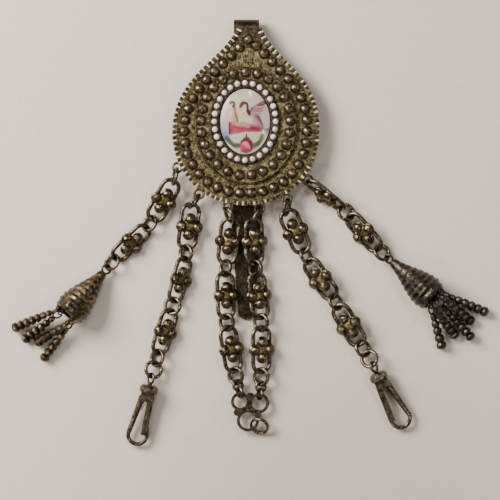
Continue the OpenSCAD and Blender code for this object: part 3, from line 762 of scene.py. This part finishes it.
ring_of_grains("stage_beading", "raised_oval", outward=-0.4, level=top_of("raised_oval"),
               count=150, radius=0.33, finish=bar_steel, seed=31)
ring_of_grains("bezel_beading", "bezel", outward=-0.45, level=top_of("bezel"),
               count=96, radius=0.36, finish=bar_steel, seed=37)
ring_of_grains("window_beading", "enamel", outward=0.7, level=top_of("bezel"),
               count=84, radius=0.24, finish=bead_bed, seed=41)


# The dark rings round the studs' feet are painted shade, with some tarnish.
SHADE_RING_WIRE = 0.12
SHADE_RING_FLAT = 0.7
SHADE_RING_GAP = 0.02 * MM
SHADE_RING_HEIGHT = 2.0 * MM


def stud_shade_rings():
    """Sets a thin dark ring round the foot of every stud on the plaque: painted shade where the stud
    meets the plate, with some tarnish.
    """
    let_go()
    bpy.ops.mesh.primitive_torus_add(
        major_segments=18, minor_segments=6, major_radius=1.0, minor_radius=SHADE_RING_WIRE)
    shade_ring = bpy.context.object
    bpy.ops.object.mode_set(mode="EDIT")
    bpy.ops.mesh.select_all(action="SELECT")
    bpy.ops.transform.resize(value=(1.0, 1.0, SHADE_RING_FLAT))
    bpy.ops.object.mode_set(mode="OBJECT")
    places = []
    for node in ("outer_studs", "inner_studs"):
        for middle, foot, _, radius in round_solids(node):
            radius += SHADE_RING_GAP
            places.append(((middle.x, middle.y, foot), 0.0, (radius, radius, SHADE_RING_HEIGHT)))
    lay_trim(shade_ring, places, "stud_shade_rings", bar_steel)


stud_shade_rings()


# Beads

BEAD_WEAR = 0.03


def set_beads():
    """Strings slightly uneven beads in the place of the CAD beads."""
    chance = random.Random(5)
    made = []
    for middle, _, height, _ in round_solids("white_beads"):
        radius = height / 2.0
        let_go()
        bpy.ops.mesh.primitive_uv_sphere_add(
            segments=20, ring_count=12, radius=radius, location=middle)
        bead = bpy.context.object
        bead.scale = (chance.uniform(0.9, 1.0), chance.uniform(0.9, 1.0),
                      chance.uniform(0.9, 0.98))
        bead.rotation_euler = (0.0, 0.0, chance.uniform(0.0, 3.0))
        bpy.ops.object.mode_set(mode="EDIT")
        bpy.ops.mesh.select_all(action="SELECT")
        bpy.ops.transform.vertex_random(
            offset=BEAD_WEAR * radius, uniform=0.5, seed=chance.randrange(1000))
        bpy.ops.object.mode_set(mode="OBJECT")
        bpy.ops.object.shade_smooth()
        made.append(bead)
    ring = settle(join(made), "bead_ring", "plaque_and_chains", ["white_beads"])
    dress(ring, bead_glass())


set_beads()


# Enamel

# The picture is laid out on the oval: across from -1 to 1, up from -1 to 1.
# Each stroke: points, width, softness, colour, strength. Two lovebirds on a
# cushion over a rose, a common motif of such ovals, painted from scratch here.
GROUND = "#bda7a0"
STROKES = [
    # the ground: cream in the middle, lilac at the edges, yellow-green above, pale below
    ([(0.0, 0.0), (0.05, 0.25)], 0.6, 0.7, "#cdbdb2", 0.9),
    ([(-0.1, 0.8), (0.2, 0.8)], 0.1, 0.4, "#bcabb0", 0.7),
    ([(-0.35, 0.66), (0.0, 0.68)], 0.08, 0.22, "#c6caa0", 0.65),
    ([(0.2, 0.62), (0.35, 0.5)], 0.08, 0.2, "#d3b3a2", 0.5),
    ([(-0.45, -0.6), (0.6, -0.52)], 0.2, 0.25, "#c9cbb0", 0.95),
    ([(-0.4, -0.86), (0.4, -0.86)], 0.1, 0.2, "#bfc0ae", 0.8),
    ([(-0.86, -0.2), (-0.82, 0.3)], 0.12, 0.2, "#a392a2", 0.8),
    ([(0.84, 0.1), (0.8, 0.3)], 0.1, 0.16, "#c9c0c8", 0.7),
    ([(-0.8, -0.42), (-0.7, -0.54)], 0.09, 0.08, "#4a76a2", 0.95),
    ([(-0.78, -0.3), (-0.72, -0.38)], 0.05, 0.1, "#9c8ab8", 0.8),
    # the left bird: pale breast, brown back, a hooked dark neck
    ([(-0.6, 0.34), (-0.6, 0.14), (-0.42, 0.02)], 0.13, 0.14, "#d3c9be", 0.95),
    ([(-0.7, 0.34), (-0.7, 0.1)], 0.05, 0.09, "#a99bb2", 0.8),
    ([(-0.66, 0.02), (-0.52, 0.06)], 0.05, 0.1, "#c79a68", 0.7),
    ([(-0.5, 0.34), (-0.44, 0.12), (-0.38, 0.02)], 0.05, 0.1, "#c6845c", 0.65),
    ([(-0.34, 0.2), (-0.3, 0.02)], 0.035, 0.05, "#7a4322", 0.95),
    ([(-0.42, 0.42), (-0.38, 0.26), (-0.32, 0.14)], 0.039, 0.05, "#8a4f35", 0.8),
    ([(-0.6, 0.56), (-0.54, 0.6), (-0.46, 0.58), (-0.42, 0.5), (-0.44, 0.46)],
     0.046, 0.03, "#4a2426", 1.0),
    ([(-0.5, 0.48), (-0.44, 0.47)], 0.035, 0.03, "#4a2426", 1.0),
    # the right bird: cream breast, an arched dark neck down to its shoulder
    ([(-0.12, 0.34), (-0.06, 0.14), (0.12, 0.06)], 0.15, 0.12, "#d2c79c", 0.95),
    ([(0.14, 0.12), (0.26, 0.02)], 0.12, 0.1, "#cdc4b0", 0.9),
    ([(-0.02, 0.42), (0.0, 0.3)], 0.05, 0.06, "#cfc0b0", 0.9),
    ([(-0.2, 0.44), (-0.14, 0.55), (-0.04, 0.59), (0.06, 0.55), (0.1, 0.44), (0.12, 0.34)],
     0.043, 0.03, "#46202c", 1.0),
    ([(-0.16, 0.46), (-0.06, 0.53)], 0.035, 0.03, "#5e2a36", 0.9),
    ([(0.13, 0.3), (0.17, 0.24)], 0.06, 0.035, "#3c1826", 1.0),
    # the long wing, feather by feather
    ([(0.2, 0.3), (0.32, 0.42), (0.48, 0.5), (0.74, 0.62)], 0.025, 0.03, "#5a2436", 1.0),
    ([(0.28, 0.4), (0.5, 0.46), (0.84, 0.56)], 0.031, 0.03, "#54202f", 1.0),
    ([(0.74, 0.62), (0.9, 0.54)], 0.019, 0.03, "#6e3a44", 0.9),
    ([(0.44, 0.4), (0.62, 0.34), (0.78, 0.28)], 0.06, 0.12, "#c49aa0", 0.55),
    ([(0.3, 0.34), (0.54, 0.38), (0.78, 0.44)], 0.022, 0.03, "#8d5560", 0.9),
    ([(0.28, 0.28), (0.5, 0.31), (0.72, 0.35)], 0.022, 0.03, "#96606a", 0.9),
    ([(0.26, 0.22), (0.46, 0.23), (0.62, 0.25)], 0.022, 0.03, "#96606a", 0.85),
    ([(0.24, 0.16), (0.4, 0.14), (0.52, 0.14)], 0.022, 0.03, "#a06a74", 0.8),
    ([(0.46, 0.14), (0.56, 0.04), (0.62, -0.08)], 0.07, 0.08, "#8f5f70", 0.85),
    ([(0.5, 0.16), (0.62, 0.02), (0.68, -0.12), (0.78, -0.24)], 0.028, 0.03, "#5d2f40", 0.9),
    ([(0.36, 0.02), (0.5, -0.08)], 0.05, 0.08, "#a88a9a", 0.7),
    # the cushion, from a dark end bar to its deep crimson hem
    ([(-0.54, -0.08), (-0.1, -0.1), (0.3, -0.14), (0.56, -0.18)], 0.05, 0.07, "#bb6a78", 0.95),
    ([(-0.5, -0.18), (0.0, -0.2), (0.6, -0.22)], 0.05, 0.06, "#951f40", 0.95),
    ([(-0.34, -0.1), (0.16, -0.14)], 0.031, 0.05, "#d49aa2", 0.6),
    ([(0.3, -0.25), (0.7, -0.24)], 0.043, 0.035, "#74102c", 1.0),
    ([(-0.6, -0.36), (-0.2, -0.31), (0.2, -0.28), (0.62, -0.26)], 0.031, 0.04, "#9c2a4a", 0.9),
    ([(-0.56, -0.27), (-0.1, -0.24)], 0.05, 0.05, "#a43350", 0.9),
    ([(-0.62, -0.05), (-0.62, -0.36)], 0.035, 0.035, "#4c0e26", 1.0),
    ([(-0.55, -0.08), (-0.55, -0.3)], 0.031, 0.03, "#7d2440", 0.8),
    ([(0.74, -0.27), (0.94, -0.24)], 0.034, 0.04, "#5a5058", 0.9),
    ([(0.66, -0.3), (0.9, -0.34)], 0.022, 0.04, "#6d6560", 0.7),
    # the garlands
    ([(-0.74, -0.5), (-0.62, -0.62), (-0.44, -0.72), (-0.26, -0.74)], 0.055, 0.05, "#37432f", 0.95),
    ([(-0.5, -0.68), (-0.4, -0.74)], 0.05, 0.05, "#333f2b", 0.9),
    ([(0.36, -0.74), (0.52, -0.68), (0.64, -0.56), (0.7, -0.42)], 0.055, 0.05, "#414a2b", 0.95),
    ([(0.46, -0.7), (0.56, -0.66)], 0.05, 0.05, "#3b4527", 0.9),
    # the rose: crimson outer leaves, pink heart, dark hips
    ([(-0.02, -0.73), (0.15, -0.73)], 0.19, 0.05, "#8e2c46", 1.0),
    ([(-0.06, -0.76), (0.12, -0.78)], 0.11, 0.06, "#c8566f", 1.0),
    ([(-0.04, -0.66), (0.04, -0.68)], 0.04, 0.04, "#dd8c9a", 0.85),
    ([(0.1, -0.72), (0.14, -0.8)], 0.046, 0.03, "#d8899a", 0.8),
    ([(-0.12, -0.6), (-0.04, -0.56), (0.12, -0.58), (0.22, -0.66)], 0.031, 0.03, "#6b2036", 0.95),
    ([(-0.08, -0.74), (0.0, -0.86), (0.14, -0.86)], 0.022, 0.03, "#8e2c48", 0.9),
    ([(0.24, -0.64), (0.26, -0.78)], 0.046, 0.04, "#5c2030", 0.9),
    ([(0.06, -0.42), (0.06, -0.48)], 0.031, 0.03, "#3c2026", 1.0),
    ([(-0.02, -0.52), (0.14, -0.52)], 0.035, 0.035, "#54242e", 0.9),
    ([(-0.14, -0.9), (0.06, -0.93), (0.16, -0.9)], 0.034, 0.04, "#5c4a42", 0.85),
]
GARLAND_LEAVES = 9


def garland_leaves():
    """Gives small leaves, by turns up and down, along both garlands."""
    leaves = []
    for turn in range(GARLAND_LEAVES):
        share = turn / (GARLAND_LEAVES - 1)
        for side, shade in ((-1.0, "#55644a"), (1.0, "#666e44")):
            root = (side * (0.3 + 0.4 * share), -0.75 + 0.28 * share ** 1.5)
            tip = (root[0] + side * 0.04, root[1] + (0.07 if turn % 2 else -0.06))
            leaves.append(([root, tip], 0.016, 0.03, shade, 0.8))
    return leaves


def distance_to(points, across, up):
    """Gives each spot's distance to a stroke's line."""
    nearest = numpy.full(across.shape, numpy.inf)
    for (x0, y0), (x1, y1) in zip(points, points[1:]):
        length = (x1 - x0) ** 2 + (y1 - y0) ** 2
        share = numpy.clip(((across - x0) * (x1 - x0) + (up - y0) * (y1 - y0)) / length, 0, 1)
        nearest = numpy.minimum(nearest, numpy.hypot(
            across - x0 - share * (x1 - x0), up - y0 - share * (y1 - y0)))
    return nearest


BRUSH_WOBBLE = 0.007


def paint_picture(piece, middle, half):
    """Lays the strokes one over the other as colours on the dome's points."""
    count = len(piece.data.vertices)
    spots = numpy.empty(count * 3)
    piece.data.vertices.foreach_get("co", spots)
    spots = spots.reshape(-1, 3)
    across = (spots[:, 0] - middle[0]) / half[0]
    up = (spots[:, 1] - middle[1]) / half[1]
    # A brush never runs quite true.
    wobble = BRUSH_WOBBLE * (numpy.sin(17.0 * across + 5.0 * up) + numpy.sin(23.0 * up - 9.0 * across))
    colours = numpy.tile(numpy.array(linear(GROUND)), (count, 1))
    for points, width, softness, shade, strength in STROKES + garland_leaves():
        reach = distance_to(points, across + wobble, up + wobble)
        cover = numpy.clip((width + softness - reach) / (softness + 0.02), 0, 1)
        cover = (cover * cover * (3 - 2 * cover) * strength)[:, None]
        colours = colours * (1 - cover) + numpy.array(linear(shade)) * cover
    layer = piece.data.color_attributes.new("paint", "FLOAT_COLOR", "POINT")
    layer.data.foreach_set("color", colours.ravel())


ENAMEL_EDGE = 0.45 * MM
DOME_POWER = 2.2


def enamel_oval():
    """Models the domed oval as a fine grid drawn into an ellipse, with its edge turned down."""
    low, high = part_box("enamel")
    half = ((high.x - low.x) / 2.0, (high.y - low.y) / 2.0)
    middle = ((high.x + low.x) / 2.0, (high.y + low.y) / 2.0)
    dome = high.z - low.z
    let_go()
    bpy.ops.mesh.primitive_grid_add(x_subdivisions=150, y_subdivisions=190, size=2.0)
    picture = bpy.context.object
    for vertex in picture.data.vertices:
        x, y = vertex.co.x, vertex.co.y
        across = x * math.sqrt(1.0 - y * y / 2.0)
        up = y * math.sqrt(1.0 - x * x / 2.0)
        out = min(1.0, math.hypot(across, up))
        vertex.co = (middle[0] + across * half[0], middle[1] + up * half[1],
                     low.z + ENAMEL_EDGE + (dome - ENAMEL_EDGE) * (1.0 - out ** DOME_POWER))
    bpy.ops.object.mode_set(mode="EDIT")
    bpy.ops.mesh.select_all(action="SELECT")
    bpy.ops.mesh.region_to_loop()
    bpy.ops.mesh.extrude_region_move(
        TRANSFORM_OT_translate={"value": (0.0, 0.0, -ENAMEL_EDGE)})
    bpy.ops.mesh.edge_face_add()
    bpy.ops.mesh.select_all(action="SELECT")
    bpy.ops.mesh.normals_make_consistent(inside=False)
    bpy.ops.object.mode_set(mode="OBJECT")
    bpy.ops.object.shade_smooth_by_angle(angle=math.radians(40.0))
    paint_picture(picture, middle, half)
    settle(picture, "enamel_picture", "plaque_and_chains", ["enamel"])
    dress(picture, painted_enamel())


enamel_oval()


# Floor, light, camera

FLOOR_SIZE = 6.0
# Painted shade on the floor: its middle, its reach and how dark it gets.
FLOOR_SHADE_MIDDLE = (0.03, -0.135, 0.0)
FLOOR_SHADE_REACH = (20.0 * MM, 105.0 * MM)
FLOOR_SHADE_DEPTH = 0.84
AIR_GLOW = 0.31
# Each soft light's name, place, size, power and tint.
SOFT_LIGHTS = (
    ("window_side", (-0.47, 0.26, 0.46), 0.36, 11.2, "#fff5ee"),
    ("upper_spark", (0.12, 0.42, 0.7), 0.05, 1.0, "#ffffff"),
    ("right_spark", (0.42, -0.1, 0.7), 0.05, 0.7, "#ffffff"),
    ("lower_spark", (-0.3, -0.5, 0.7), 0.05, 0.8, "#ffffff"))


def pale_floor():
    let_go()
    bpy.ops.mesh.primitive_plane_add(size=FLOOR_SIZE)
    floor = bpy.context.object
    floor.name = "floor"
    material, tree = new_material("matt_paper")
    place = add(tree, "ShaderNodeTexCoord").outputs["Object"]
    fibre = add(tree, "ShaderNodeTexNoise", {
        "Vector": place, "Scale": 1.0 / (1.5 * MM), "Detail": 4.0})
    colour = ramp(tree, fibre.outputs["Fac"], [(0.3, "#d5cdc3"), (0.7, "#dbd4cb")])
    # Painted shade: the sheet's colour is darkened below the chains, where the light falls off.
    reach = add(tree, "ShaderNodeVectorMath", {
        0: place, 1: FLOOR_SHADE_MIDDLE}, operation="DISTANCE")
    shade = add(tree, "ShaderNodeMapRange", {
        "Value": reach.outputs["Value"], "From Min": FLOOR_SHADE_REACH[0], "From Max": FLOOR_SHADE_REACH[1],
        "To Min": FLOOR_SHADE_DEPTH, "To Max": 1.0}, interpolation_type="SMOOTHSTEP")
    paper = add(tree, "ShaderNodeMix", {
        "Factor": 1.0, "A": colour, "B": shade.outputs["Result"]},
        data_type="RGBA", blend_type="MULTIPLY")
    surface = add(tree, "ShaderNodeBsdfPrincipled", {
        "Base Color": paper.outputs["Result"], "Roughness": 0.9})
    add(tree, "ShaderNodeOutputMaterial", {"Surface": surface.outputs["BSDF"]})
    dress(floor, material)


def soft_box(name, place, size, power, tint):
    """Adds one soft light that looks at the middle of the picture."""
    data = bpy.data.lights.new(name, "AREA")
    data.size = size
    data.energy = power
    data.color = linear(tint)[:3]
    lamp = bpy.data.objects.new(name, data)
    bpy.context.collection.objects.link(lamp)
    lamp.location = place
    target = Vector((PICTURE_MIDDLE[0], PICTURE_MIDDLE[1], 0.0))
    lamp.rotation_euler = (target - Vector(place)).to_track_quat("-Z", "Y").to_euler()


def studio():
    world = bpy.data.worlds.new("studio")
    bpy.context.scene.world = world
    world.use_nodes = True
    world.node_tree.nodes.clear()
    air = add(world.node_tree, "ShaderNodeBackground", {
        "Color": linear("#f4e6d3"), "Strength": AIR_GLOW})
    add(world.node_tree, "ShaderNodeOutputWorld", {"Surface": air.outputs["Background"]})
    for light in SOFT_LIGHTS:
        soft_box(*light)


def camera():
    data = bpy.data.cameras.new("camera")
    data.sensor_width = SENSOR_WIDTH
    data.lens = SENSOR_WIDTH * CAMERA_HEIGHT / PICTURE_WIDTH
    data.clip_end = 20.0
    made = bpy.data.objects.new("camera", data)
    bpy.context.collection.objects.link(made)
    made.location = (PICTURE_MIDDLE[0], PICTURE_MIDDLE[1], CAMERA_HEIGHT + METAL_HEIGHT)
    bpy.context.scene.camera = made


pale_floor()
studio()
camera()
